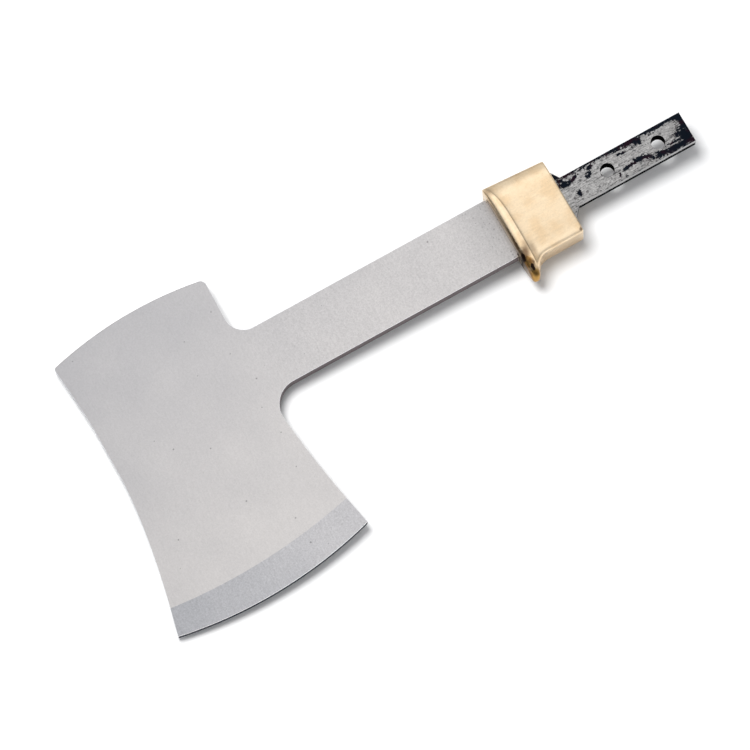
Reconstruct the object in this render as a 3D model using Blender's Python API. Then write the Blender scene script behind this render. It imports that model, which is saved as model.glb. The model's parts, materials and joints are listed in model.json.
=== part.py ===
"""Axe blade blank: a flat steel hatchet head with its neck and drilled tang, and a brass guard.

Both pieces are drawn in the blade's own frame. Its X axis runs along the middle of the neck towards the tang,
Y towards the poll, Z out of the plate's upper face, and its origin is in the middle of the plate's thickness at
the guard's front face. An empty then lays the blank down: the guard is thicker than the plate, so the head's
front corners and the guard's rim touch the ground and the tang stands clear. Lengths are in metres.
"""
import math

import bmesh
import bpy
from mathutils import Matrix, Vector

# The plate and its edge
PLATE_THICKNESS = 0.0060
EDGE_FLAT = 0.0022
EDGE_BOW = 0.0055
BEVEL_AT_HEEL = 0.0121
BEVEL_AT_TOE = 0.0132
BEVEL_BOW = 0.0038

# The head, measured from the line where its back meets the neck
POLL_LENGTH = 0.0726
POLL_HEIGHT_BACK = 0.0426
POLL_HEIGHT_FRONT = 0.0398
POLL_BOW = 0.0041
POLL_BACK_LEAN = 0.0006
POLL_FRONT_ROUND = 0.0014
POLL_BACK_ROUND = 0.0028
CHEEK_SWELL = 0.0022
CHEEK_DEPTH = 0.0300
HEEL_DEPTH = 0.0857
HEEL_FLARE = 0.0114
TOE_DEPTH = 0.0820
TOE_FLARE = 0.0099
TOE_SIDE_BOW = 0.0013
UPPER_THROAT_RADIUS = 0.0086
LOWER_THROAT_RADIUS = 0.0113

# The neck, the seat that the guard slides on, and the tang
NECK_LENGTH = 0.1204
NECK_WIDTH = 0.0286
SEAT_WIDTH = 0.0256
TANG_WIDTH = 0.0143
TANG_LENGTH = 0.0609
UPPER_SHOULDER = 0.0035
LOWER_SHOULDER = 0.0047
SHOULDER_INSIDE = 0.0003
PIN_HOLE_DIAMETER = 0.0060
PIN_HOLE_FROM_END = 0.0142
PIN_HOLE_SPACING = 0.0245

# The guard, measured outwards from its slot
FIT_GAP = 0.0003
GUARD_LENGTH = 0.0284
SPINE_WALL_FRONT = 0.0045
SPINE_WALL_REAR = 0.0029
BELLY_WALL_FRONT = 0.006
BELLY_WALL_REAR = 0.00595
BODY_WALL = 0.0047
REAR_WALL = 0.0043
RIM_RISE = 0.0005
CORNER_AT_SPINE = 0.0012
CORNER_AT_BELLY = 0.002
CROWN = 0.0014
NOSE_AT_SPINE = 0.0005
NOSE_AT_TOP = 0.0045
NOSE_AT_TIP = 0.0016
NOSE_DROP = 0.0030
SWEEP_LENGTH = 0.0070
SWEEP_KNEE = 0.0031
REAR_EDGE_BREAK = 0.0006
LIP_ROOT = 0.0083
LIP_REACH = 0.0077
LIP_BACK_ROUND = 0.0034

# How sharply the head's front side leaves its waist, upwards and downwards
CHEEK_POWER = 1.3
HEEL_POWER = 1.6

# How flat the guard's top is in the middle, and how soon the nose reaches its full size away from the poll's side
CROWN_POWER = 5.0
RISE_POWER = 4.5

# Number of steps along each shape
EDGE_STEPS = 40
SIDE_STEPS = 24
ROUND_STEPS = 10
HOLE_SIDES = 48
CORNER_STEPS = 5
TOP_STEPS = 9
WALL_STEPS = 5
NOSE_STEPS = 7
SWEEP_STEPS = 9
BODY_STEPS = 4

TANG_END = GUARD_LENGTH + TANG_LENGTH
HEAD_BACK = -NECK_LENGTH
SLOT_HALF_WIDTH = SEAT_WIDTH / 2 + FIT_GAP
SLOT_HALF_HEIGHT = PLATE_THICKNESS / 2 + FIT_GAP


def arc(start, end, bow, steps):
    """Points from start to end on a circle that bulges by bow to the right of the way."""
    start, end = Vector(start), Vector(end)
    chord = end - start
    half = chord.length / 2
    radius = (half * half + bow * bow) / (2 * bow)
    along = chord.normalized()
    out = Vector((along.y, -along.x))
    centre = (start + end) / 2 - out * (radius - bow)
    reach = math.asin(min(1.0, half / abs(radius)))
    points = []
    for i in range(steps + 1):
        angle = reach * (2 * i / steps - 1)
        points.append(centre + along * (abs(radius) * math.sin(angle)) + out * (radius * math.cos(angle)))
    return points


def shortened(points, distance):
    """The polyline with the last stretch of this length taken off its end."""
    points = list(points)
    while len(points) > 2 and (points[-1] - points[-2]).length <= distance:
        distance -= (points[-1] - points[-2]).length
        points.pop()
    last = points[-1] - points[-2]
    points[-1] = points[-1] - last.normalized() * distance
    return points


def rounded_join(before, after, radius, steps):
    """Two polylines that share a corner, joined by a round of this radius."""
    corner = before[-1]
    way_in = (corner - before[-2]).normalized()
    way_out = (after[1] - corner).normalized()
    half_turn = math.acos(max(-1.0, min(1.0, way_in.dot(way_out)))) / 2
    reach = radius * math.tan(half_turn)
    before = shortened(before, reach)
    after = shortened(after[::-1], reach)[::-1]
    weight = math.cos(half_turn)
    middle = []
    for i in range(1, steps):
        t = i / steps
        a, b, c = (1 - t) ** 2, 2 * t * (1 - t) * weight, t * t
        middle.append((before[-1] * a + corner * b + after[0] * c) / (a + b + c))
    return before + middle + after


def front_side():
    """The head's front side from the poll's corner down to the heel: a straight waist, flared both ways."""
    waist = HEAD_BACK - POLL_LENGTH + CHEEK_SWELL
    cheek_start = POLL_HEIGHT_FRONT - CHEEK_DEPTH
    heel_start = -NECK_WIDTH / 2
    heel_run = HEEL_DEPTH + heel_start
    points = []
    for i in range(SIDE_STEPS + 1):
        rise = 1 - i / SIDE_STEPS
        swell = CHEEK_SWELL * rise ** CHEEK_POWER
        points.append(Vector((waist - swell, cheek_start + CHEEK_DEPTH * rise)))
    for i in range(SIDE_STEPS + 1):
        fall = i / SIDE_STEPS
        flare = HEEL_FLARE * fall ** HEEL_POWER
        points.append(Vector((waist - flare, heel_start - heel_run * fall)))
    return points


def blank_outline():
    """The flat face's outline without the bevel, and the edge's two ends, at the heel and at the toe.

    It starts at the bevel's line on the toe side and runs round by the tang and the poll to that line on the
    heel side, with the plate on the left.
    """
    front = front_side()
    heel = front[-1]
    toe = Vector((HEAD_BACK + TOE_FLARE, -TOE_DEPTH))
    neck, seat, tang = NECK_WIDTH / 2, SEAT_WIDTH / 2, TANG_WIDTH / 2

    poll_front = front[0]
    poll_back = Vector((HEAD_BACK + POLL_BACK_LEAN, POLL_HEIGHT_BACK))
    lower_throat = Vector((HEAD_BACK, -neck))
    upper_throat = Vector((HEAD_BACK, neck))

    toe_side = shortened(arc(lower_throat, toe, TOE_SIDE_BOW, SIDE_STEPS), BEVEL_AT_TOE)
    front = shortened(front, BEVEL_AT_HEEL)

    lower = [lower_throat, Vector((-FIT_GAP, -neck))]
    upper = [Vector((-FIT_GAP, neck)), upper_throat]
    seat_end = GUARD_LENGTH - SHOULDER_INSIDE
    upper_tang = [
        Vector((TANG_END, tang)),
        Vector((seat_end + UPPER_SHOULDER, tang)),
        Vector((seat_end, seat)),
        Vector((-FIT_GAP, seat)),
    ]
    lower_tang = [
        Vector((-FIT_GAP, -seat)),
        Vector((seat_end, -seat)),
        Vector((seat_end + LOWER_SHOULDER, -tang)),
        Vector((TANG_END, -tang)),
    ]

    head_low = rounded_join(toe_side[::-1], lower, LOWER_THROAT_RADIUS, ROUND_STEPS)
    back = [upper_throat, poll_back]
    head_up = rounded_join(upper, back, UPPER_THROAT_RADIUS, ROUND_STEPS)
    poll = arc(poll_back, poll_front, POLL_BOW, SIDE_STEPS)
    head_up = rounded_join(head_up, poll, POLL_BACK_ROUND, ROUND_STEPS)
    head_up = rounded_join(head_up, front, POLL_FRONT_ROUND, ROUND_STEPS)
    outline = head_low + lower_tang + upper_tang + head_up
    return outline, heel, toe


def plate_mesh():
    """The blank as one closed plate: flat faces, a bevel on each side of the bit and the edge's own flat."""
    outline, heel, toe = blank_outline()
    ridge = arc(outline[-1], outline[0], BEVEL_BOW, EDGE_STEPS)
    edge = arc(heel, toe, EDGE_BOW, EDGE_STEPS)
    half, thin = PLATE_THICKNESS / 2, EDGE_FLAT / 2
    loop = ridge + outline[1:-1]

    mesh = bmesh.new()
    top = [mesh.verts.new((p.x, p.y, half)) for p in loop]
    bottom = [mesh.verts.new((p.x, p.y, -half)) for p in loop]
    edge_top = [mesh.verts.new((p.x, p.y, thin)) for p in edge]
    edge_bottom = [mesh.verts.new((p.x, p.y, -thin)) for p in edge]

    mesh.faces.new(top)
    mesh.faces.new(bottom[::-1])
    for i in range(EDGE_STEPS):
        mesh.faces.new((edge_top[i], edge_top[i + 1], top[i + 1], top[i]))
        mesh.faces.new((edge_bottom[i], edge_bottom[i + 1], edge_top[i + 1], edge_top[i]))
        mesh.faces.new((bottom[i], bottom[i + 1], edge_bottom[i + 1], edge_bottom[i]))
    for i in range(EDGE_STEPS, len(loop)):
        j = (i + 1) % len(loop)
        mesh.faces.new((bottom[i], bottom[j], top[j], top[i]))
    mesh.faces.new((bottom[EDGE_STEPS], top[EDGE_STEPS], edge_top[-1], edge_bottom[-1]))
    mesh.faces.new((top[0], bottom[0], edge_bottom[0], edge_top[0]))

    cross_lines = (
        HEAD_BACK + UPPER_THROAT_RADIUS,
        -FIT_GAP,
        GUARD_LENGTH,
        GUARD_LENGTH + LOWER_SHOULDER,
        TANG_END - PIN_HOLE_FROM_END - PIN_HOLE_SPACING * 0.7,
        TANG_END - PIN_HOLE_FROM_END - PIN_HOLE_SPACING * 0.3,
    )
    for x in cross_lines:
        everything = mesh.verts[:] + mesh.edges[:] + mesh.faces[:]
        bmesh.ops.bisect_plane(mesh, geom=everything, plane_co=(x, 0, 0), plane_no=(1, 0, 0), dist=1e-7)
    return mesh


def body_outline(x):
    """The guard's outline above the plate's middle at x, from the poll's side round to the edge's, as (y, z)."""
    along = x / GUARD_LENGTH
    spine = SLOT_HALF_WIDTH + SPINE_WALL_FRONT + (SPINE_WALL_REAR - SPINE_WALL_FRONT) * along
    belly = SLOT_HALF_WIDTH + BELLY_WALL_FRONT + (BELLY_WALL_REAR - BELLY_WALL_FRONT) * along
    height = SLOT_HALF_HEIGHT + BODY_WALL + (REAR_WALL - BODY_WALL) * along
    width = spine + belly - CORNER_AT_SPINE - CORNER_AT_BELLY
    lean = math.atan2(2 * CROWN_POWER * CROWN, width)
    turn = math.pi / 2 - lean
    points = [Vector((spine, 0))]
    for i in range(CORNER_STEPS + 1):
        angle = turn * i / CORNER_STEPS
        centre = Vector((spine - CORNER_AT_SPINE, height - CORNER_AT_SPINE))
        points.append(centre + CORNER_AT_SPINE * Vector((math.cos(angle), math.sin(angle))))
    corner = []
    for i in range(CORNER_STEPS + 1):
        angle = lean + turn * i / CORNER_STEPS
        centre = Vector((CORNER_AT_BELLY - belly, height - CORNER_AT_BELLY))
        corner.append(centre + CORNER_AT_BELLY * Vector((-math.sin(angle), math.cos(angle))))
    top_start = points[-1]
    for i in range(1, TOP_STEPS):
        share = i / TOP_STEPS
        crown = CROWN * (1 - abs(2 * share - 1) ** CROWN_POWER)
        points.append(top_start.lerp(corner[0], share) + Vector((0, crown)))
    points += corner
    for i in range(1, WALL_STEPS + 1):
        points.append(Vector((-belly, corner[-1].y * (1 - i / WALL_STEPS))))
    return points


def rim_outline(body):
    """The guard's widest outline, with the rim's rise and the lip, and each point's place along it.

    A place is two shares: how far from the poll's side wall to the lip's root, and from there to its tip.
    """
    lengths = [0.0]
    for before, after in zip(body, body[1:]):
        lengths.append(lengths[-1] + (after - before).length)
    root = next(i for i, p in enumerate(body) if p.x < -LIP_ROOT)
    length_at_root = lengths[root] - (-body[root].x - LIP_ROOT)
    tip = -body[-1].x + LIP_REACH
    past = (body[root - 1].x + LIP_ROOT) / (body[root - 1].x - body[root].x)
    raised = 1 + RIM_RISE / (SLOT_HALF_HEIGHT + BODY_WALL)
    height = body[root - 1].lerp(body[root], past).y * raised
    points, places = [], []
    for i, point in enumerate(body):
        if i < root:
            rise = max(0.0, lengths[i] - lengths[1]) / (length_at_root - lengths[1])
            share = 1 - (1 - rise) ** RISE_POWER
            points.append(Vector((point.x, point.y * (1 + share * (raised - 1)))))
            places.append((share, 0.0))
        else:
            out = (lengths[i] - length_at_root) / (lengths[-1] - length_at_root)
            angle = math.pi / 2 * out
            points.append(Vector((-LIP_ROOT - (tip - LIP_ROOT) * math.sin(angle), height * math.cos(angle))))
            places.append((1.0, out))
    return points, places


def inward_normals(points):
    """Each point's direction towards the inside of the outline, which runs from the spine over the top."""
    normals = []
    for i, point in enumerate(points):
        if i in (0, len(points) - 1):
            normals.append(Vector((-1 if i == 0 else 1, 0)))
            continue
        way = (points[i + 1] - points[i - 1]).normalized()
        normals.append(Vector((-way.y, way.x)))
    return normals


def guard_rings():
    """The guard's rings from the front face to the rear one, each a list of (x, y, z) above the middle.

    A ring isn't flat: the nose and the sweep behind it are longer over the top than at the poll's side.
    """
    rim, places = rim_outline(body_outline(0.0))
    inward = inward_normals(rim)
    noses, drops = [], []
    for share, out in places:
        nose = NOSE_AT_SPINE + (NOSE_AT_TOP - NOSE_AT_SPINE) * share
        drop = NOSE_AT_SPINE + (NOSE_DROP - NOSE_AT_SPINE) * share
        noses.append(nose + (NOSE_AT_TIP - NOSE_AT_TOP) * out ** 4)
        drops.append(drop + (NOSE_AT_TIP - NOSE_DROP) * out ** 4)

    rings = []
    for k in range(NOSE_STEPS + 1):
        angle = math.pi / 2 * k / NOSE_STEPS
        ring = []
        for point, inner, nose, drop in zip(rim, inward, noses, drops):
            flat = point + inner * drop * (1 - math.sin(angle))
            ring.append(Vector((nose * (1 - math.cos(angle)), flat.x, flat.y)))
        rings.append(ring)
    for k in range(1, SWEEP_STEPS + 1):
        t = k / SWEEP_STEPS
        ring = []
        for i, (point, (_, out), nose) in enumerate(zip(rim, places, noses)):
            back = LIP_BACK_ROUND * out ** 4
            kept = (1 - t) ** 2 * (1 + 2 * t * out ** 2)
            x = nose + 3 * t * (1 - t) ** 2 * back + 3 * t * t * (1 - t) * SWEEP_KNEE + t ** 3 * SWEEP_LENGTH
            flat = body_outline(x)[i].lerp(point, kept)
            ring.append(Vector((x, flat.x, flat.y)))
        rings.append(ring)
    last = [p.x for p in rings[-1]]
    for k in range(1, BODY_STEPS + 1):
        ring = []
        for i, start in enumerate(last):
            x = start + (GUARD_LENGTH - REAR_EDGE_BREAK - start) * k / BODY_STEPS
            flat = body_outline(x)[i]
            ring.append(Vector((x, flat.x, flat.y)))
        rings.append(ring)
    rear = body_outline(GUARD_LENGTH)
    rear_inward = inward_normals(rear)
    for angle in (math.radians(45), math.radians(90)):
        x = GUARD_LENGTH - REAR_EDGE_BREAK * (1 - math.sin(angle))
        ring = []
        for point, inner in zip(rear, rear_inward):
            flat = point + inner * REAR_EDGE_BREAK * (1 - math.cos(angle))
            ring.append(Vector((x, flat.x, flat.y)))
        rings.append(ring)
    return rings


def guard_mesh():
    """The guard without its slot: the rings mirrored below the middle, joined and closed at both ends."""
    mesh = bmesh.new()
    rings = []
    for half in guard_rings():
        below = [Vector((p.x, p.y, -p.z)) for p in half[-2:0:-1]]
        rings.append([mesh.verts.new(p) for p in half + below])
    count = len(rings[0])
    for front, rear in zip(rings, rings[1:]):
        for i in range(count):
            j = (i + 1) % count
            mesh.faces.new((front[i], rear[i], rear[j], front[j]))
    mesh.faces.new(rings[0])
    mesh.faces.new(rings[-1][::-1])
    bmesh.ops.recalc_face_normals(mesh, faces=mesh.faces[:])
    return mesh


def resting_matrix(plate, guard):
    """Where the blank lies: on two corners of the head's underside and on the guard's rim."""
    underside = [v.co.copy() for v in plate.verts if v.co.z < -PLATE_THICKNESS / 2 + 1e-6]
    ridge_heel = blank_outline()[0][-1]
    near = Vector((ridge_heel.x, ridge_heel.y, -PLATE_THICKNESS / 2))
    ahead = [p for p in underside if p.y > 0]
    far = min(ahead, key=lambda p: (p.x - near.x) / (p.y - near.y))
    hinge = (near - far).normalized()
    towards_tang = Vector((0, 0, 1)).cross(hinge)
    tilt = 0.0
    for vert in guard.verts:
        offset = vert.co - near
        tilt = max(tilt, math.atan2(-offset.z, offset.dot(towards_tang)))
    turn = Matrix.Rotation(tilt, 4, towards_tang.cross(Vector((0, 0, 1))))
    placed = Matrix.Translation(near) @ turn @ Matrix.Translation(-near)
    corners = [placed @ v.co for v in list(plate.verts) + list(guard.verts)]
    low = [min(p[axis] for p in corners) for axis in range(3)]
    high = [max(p[axis] for p in corners) for axis in range(3)]
    centre = Vector(((low[0] + high[0]) / 2, (low[1] + high[1]) / 2, low[2]))
    return Matrix.Translation(-centre) @ placed


def material(name, colour, roughness):
    """A plain metal of this colour."""
    made = bpy.data.materials.new(name)
    made.use_nodes = True
    shader = made.node_tree.nodes["Principled BSDF"]
    shader.inputs["Base Color"].default_value = (*colour, 1.0)
    shader.inputs["Metallic"].default_value = 1.0
    shader.inputs["Roughness"].default_value = roughness
    return made


def add_object(name, mesh, look, parent):
    """A named object in the blade's frame, carried by the parent."""
    data = bpy.data.meshes.new(name)
    mesh.to_mesh(data)
    data.set_sharp_from_angle(angle=math.radians(35))
    data.materials.append(look)
    made = bpy.data.objects.new(name, data)
    bpy.context.scene.collection.objects.link(made)
    made.parent = parent
    return made


def add_cutter(name, mesh, parent):
    """A guide that a Boolean reads and that isn't part of the object."""
    data = bpy.data.meshes.new(name)
    mesh.to_mesh(data)
    made = bpy.data.objects.new(name, data)
    bpy.context.scene.collection.objects.link(made)
    made.parent = parent
    made.hide_render = True
    made.display_type = "WIRE"
    return made


def cut(target, cutter):
    """Take the cutter's shape out of the target."""
    modifier = target.modifiers.new("cut " + cutter.name, "BOOLEAN")
    modifier.operation = "DIFFERENCE"
    modifier.solver = "EXACT"
    modifier.object = cutter


def pin_cutter(x):
    """A round bar through the tang at x."""
    mesh = bmesh.new()
    bmesh.ops.create_cone(
        mesh,
        cap_ends=True,
        segments=HOLE_SIDES,
        radius1=PIN_HOLE_DIAMETER / 2,
        radius2=PIN_HOLE_DIAMETER / 2,
        depth=PLATE_THICKNESS * 2,
        matrix=Matrix.Translation((x, 0, 0)),
    )
    return mesh


def slot_cutter():
    """A bar of the seat's section, with the fit's gap all round, longer than the guard."""
    mesh = bmesh.new()
    size = Matrix.Diagonal((GUARD_LENGTH * 2, 2 * SLOT_HALF_WIDTH, 2 * SLOT_HALF_HEIGHT, 1))
    bmesh.ops.create_cube(mesh, size=1.0, matrix=Matrix.Translation((GUARD_LENGTH / 2, 0, 0)) @ size)
    return mesh


def build():
    """Make both pieces and lay them down."""
    for old in list(bpy.data.objects):
        bpy.data.objects.remove(old, do_unlink=True)

    plate, guard = plate_mesh(), guard_mesh()
    rest = bpy.data.objects.new("blank_at_rest", None)
    bpy.context.scene.collection.objects.link(rest)
    rest.matrix_world = resting_matrix(plate, guard)

    steel = material("ground_steel", (0.56, 0.55, 0.54), 0.36)
    brass = material("satin_brass", (0.86, 0.68, 0.38), 0.28)
    blank = add_object("steel_blank", plate, steel, rest)
    collar = add_object("brass_guard", guard, brass, rest)

    last_hole = TANG_END - PIN_HOLE_FROM_END
    for name, x in (("rear_pin", last_hole), ("front_pin", last_hole - PIN_HOLE_SPACING)):
        cut(blank, add_cutter(name, pin_cutter(x), rest))
    cut(collar, add_cutter("slot", slot_cutter(), rest))


build()
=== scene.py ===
"""Looks of an axe blade blank: a satin-ground steel head with its neck and drilled tang, and a brass guard.

Both pieces are drawn in the blade's own frame, as the solids are: X along the middle of the neck towards the tang,
Y towards the poll, Z out of the plate's upper face, with the origin in the middle of the plate at the guard's front.
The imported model's mounts say where that frame lies. Pieces are sized in metres, and finishes in millimetres.
"""
import json
import logging
import math
from dataclasses import dataclass, field
from enum import Enum

import bmesh
import bpy
from mathutils import Matrix, Vector


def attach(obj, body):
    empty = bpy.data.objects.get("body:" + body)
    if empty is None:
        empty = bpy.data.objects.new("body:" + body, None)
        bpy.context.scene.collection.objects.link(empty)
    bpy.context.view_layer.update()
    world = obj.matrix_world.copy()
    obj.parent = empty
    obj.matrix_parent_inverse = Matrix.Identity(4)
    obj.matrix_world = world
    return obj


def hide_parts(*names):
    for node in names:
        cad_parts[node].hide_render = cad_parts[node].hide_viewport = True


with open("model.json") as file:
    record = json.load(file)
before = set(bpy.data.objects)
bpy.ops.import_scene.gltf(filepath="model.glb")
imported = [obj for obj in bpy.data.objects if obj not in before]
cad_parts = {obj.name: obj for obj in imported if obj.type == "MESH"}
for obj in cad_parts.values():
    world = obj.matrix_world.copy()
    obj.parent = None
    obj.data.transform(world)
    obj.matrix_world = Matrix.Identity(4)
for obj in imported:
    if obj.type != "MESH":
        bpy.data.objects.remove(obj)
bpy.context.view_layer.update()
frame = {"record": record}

LOG = logging.getLogger("axe_blank")
COORDS = "blade_mm"
MM_IN_METRE = 1000.0
SAME_PLACE = 1e-7
QUARTER_TURN = math.pi / 2

Colour = tuple[float, float, float]
Span = tuple[float, float]
Wire = bpy.types.NodeSocket
Tree = bpy.types.NodeTree
Look = bpy.types.Material


class Region(Enum):
    """A part of the steel blank with its own finish. The value is its place in the material slots."""

    FACE = 0
    BEVEL = 1
    SIDE = 2
    ARRIS = 3
    TANG = 4
    TANG_SIDE = 5
    BORE = 6
    EDGE = 7


class Socket(Enum):
    """Kinds of socket on a node group."""

    VALUE = "NodeSocketFloat"
    VECTOR = "NodeSocketVector"
    COLOUR = "NodeSocketColor"
    COUNT = "NodeSocketInt"
    MESH = "NodeSocketGeometry"
    MATERIAL = "NodeSocketMaterial"


# ---------------------------------------------------------------------------------------------- nodes


class Net:
    """Adds nodes to one tree and joins them as it goes."""

    def __init__(self, tree: Tree) -> None:
        """Keep the tree that nodes are added to."""
        self.tree = tree

    def feed(self, socket: Wire, value: object) -> None:
        """Join a socket to another one, or set its value.

        Args:
            socket: the input.
            value: a socket or a value.
        """
        if isinstance(value, Wire):
            self.tree.links.new(value, socket)
        else:
            socket.default_value = value

    def add(self, kind: str, inputs: dict | None = None, **settings: object) -> bpy.types.Node:
        """Add a node.

        Args:
            kind: Blender's name of the node.
            inputs: for some input sockets, by name or place, a socket to join or a value.
            settings: the node's own properties.

        Returns:
            The new node.
        """
        node = self.tree.nodes.new(kind)
        for name, value in settings.items():
            setattr(node, name, value)
        for key, value in (inputs or {}).items():
            self.feed(node.inputs[key], value)
        return node

    def out(self, kind: str, inputs: dict | None = None, **settings: object) -> Wire:
        """Add a node, and give its first output."""
        return self.add(kind, inputs, **settings).outputs[0]

    def math(self, operation: str, *values: object, clamp: bool = False) -> Wire:
        """One sum of a Math node."""
        return self.out("ShaderNodeMath", dict(enumerate(values)), operation=operation, use_clamp=clamp)

    def total(self, first: object, *more: object) -> object:
        """The values added up.

        Args:
            first: a socket or a value.
            more: further ones.

        Returns:
            Their sum.
        """
        for value in more:
            first = self.math("ADD", first, value)
        return first

    def times(self, first: object, *more: object) -> object:
        """The values multiplied.

        Args:
            first: a socket or a value.
            more: further ones.

        Returns:
            Their product.
        """
        for value in more:
            first = self.math("MULTIPLY", first, value)
        return first

    def minus(self, first: object, second: object) -> Wire:
        """The first value less the second."""
        return self.math("SUBTRACT", first, second)

    def swing(self, value: Wire, share: float) -> Wire:
        """A value about 0.5, made one about 0 and scaled."""
        return self.times(self.minus(value, 0.5), share)

    def vector(self, operation: str, first: object, second: object) -> Wire:
        """One sum of a Vector Math node."""
        return self.out("ShaderNodeVectorMath", {0: first, 1: second}, operation=operation)

    def turned(self, vector: Wire, angle: object) -> Wire:
        """A vector turned about Z."""
        return self.out("ShaderNodeVectorRotate", {"Vector": vector, "Angle": angle}, rotation_type="Z_AXIS")

    def split(self, vector: Wire) -> list[Wire]:
        """A vector's X, Y and Z."""
        return list(self.add("ShaderNodeSeparateXYZ", {0: vector}).outputs)

    def ramp(self, value: object, low: object, high: object, to_low: object = 0.0, to_high: object = 1.0,
             smooth: bool = True) -> Wire:
        """Map a value from one range to another, smoothly or in a straight line, and held at the ends."""
        return self.out("ShaderNodeMapRange", {0: value, 1: low, 2: high, 3: to_low, 4: to_high},
                        interpolation_type="SMOOTHSTEP" if smooth else "LINEAR")

    def blend(self, share: object, first: Wire | Colour, second: Wire | Colour, how: str = "MIX") -> Wire:
        """Mix two colours.

        Args:
            share: the second one's share.
            first: a colour.
            second: a colour.
            how: Blender's name of the way of mixing.

        Returns:
            The mixed colour.
        """
        pair = [(*colour, 1.0) if isinstance(colour, tuple) else colour for colour in (first, second)]
        return self.add("ShaderNodeMix", {0: share, 6: pair[0], 7: pair[1]}, data_type="RGBA",
                        blend_type=how).outputs[2]

    def shaded(self, colour: Wire | Colour, light: Wire) -> Wire:
        """A colour multiplied by a value."""
        return self.blend(1.0, colour, self.out("ShaderNodeCombineColor", {0: light, 1: light, 2: light}), "MULTIPLY")

    def noise(self, vector: Wire, scale: object, detail: float, roughness: float) -> bpy.types.NodeOutputs:
        """A noise node's outputs: a value and a colour, both about 0.5."""
        return self.add("ShaderNodeTexNoise", {
            "Vector": vector, "Scale": scale, "Detail": detail, "Roughness": roughness}).outputs

    def use(self, group: Tree, where: Wire, **values: object) -> dict[str, Wire]:
        """Place a shared group.

        Args:
            group: one of the shared groups.
            where: the place on the blade, for the group's Vector.
            values: its other inputs, named in small letters with _ for a space.

        Returns:
            The group node's outputs by name.
        """
        node = self.add("ShaderNodeGroup", node_tree=group)
        for name, value in {"vector": where, **values}.items():
            self.feed(node.inputs[name.replace("_", " ").title()], value)
        return {socket.name: socket for socket in node.outputs}


def new_group(name: str, inputs: dict[str, object], outputs: dict[str, Socket],
              kind: str = "ShaderNodeTree") -> tuple[Tree, Net, dict[str, Wire], dict[str, Wire]]:
    """Start a node group.

    Args:
        name: what the group is called.
        inputs: each input's name with its default, or with its kind where it has none.
        outputs: each output's name with its kind.
        kind: Blender's name of the sort of tree.

    Returns:
        The tree, a net on it, its inputs' sockets by name and its outputs' sockets by name.
    """
    tree = bpy.data.node_groups.new(name, kind)
    for label, default in inputs.items():
        if isinstance(default, Socket):
            tree.interface.new_socket(label, in_out="INPUT", socket_type=default.value)
        else:
            sort = Socket.COUNT if isinstance(default, int) else Socket.VALUE
            tree.interface.new_socket(label, in_out="INPUT", socket_type=sort.value).default_value = default
    for label, sort in outputs.items():
        tree.interface.new_socket(label, in_out="OUTPUT", socket_type=sort.value)
    net = Net(tree)
    source, sink = net.add("NodeGroupInput"), net.add("NodeGroupOutput")
    return tree, net, {s.name: s for s in source.outputs if s.name}, {s.name: s for s in sink.inputs if s.name}


@dataclass(frozen=True)
class Blotch:
    """One long soft-edged spot, in millimetres of the blade's frame and degrees."""

    x: float
    y: float
    half_length: float
    half_width: float
    turn: float = 0.0


def rows(*spots: tuple[float, ...]) -> tuple[Blotch, ...]:
    """Spots from rows of x, y, half length, half width and, where it isn't 0, turn."""
    return tuple(Blotch(*spot) for spot in spots)


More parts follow.
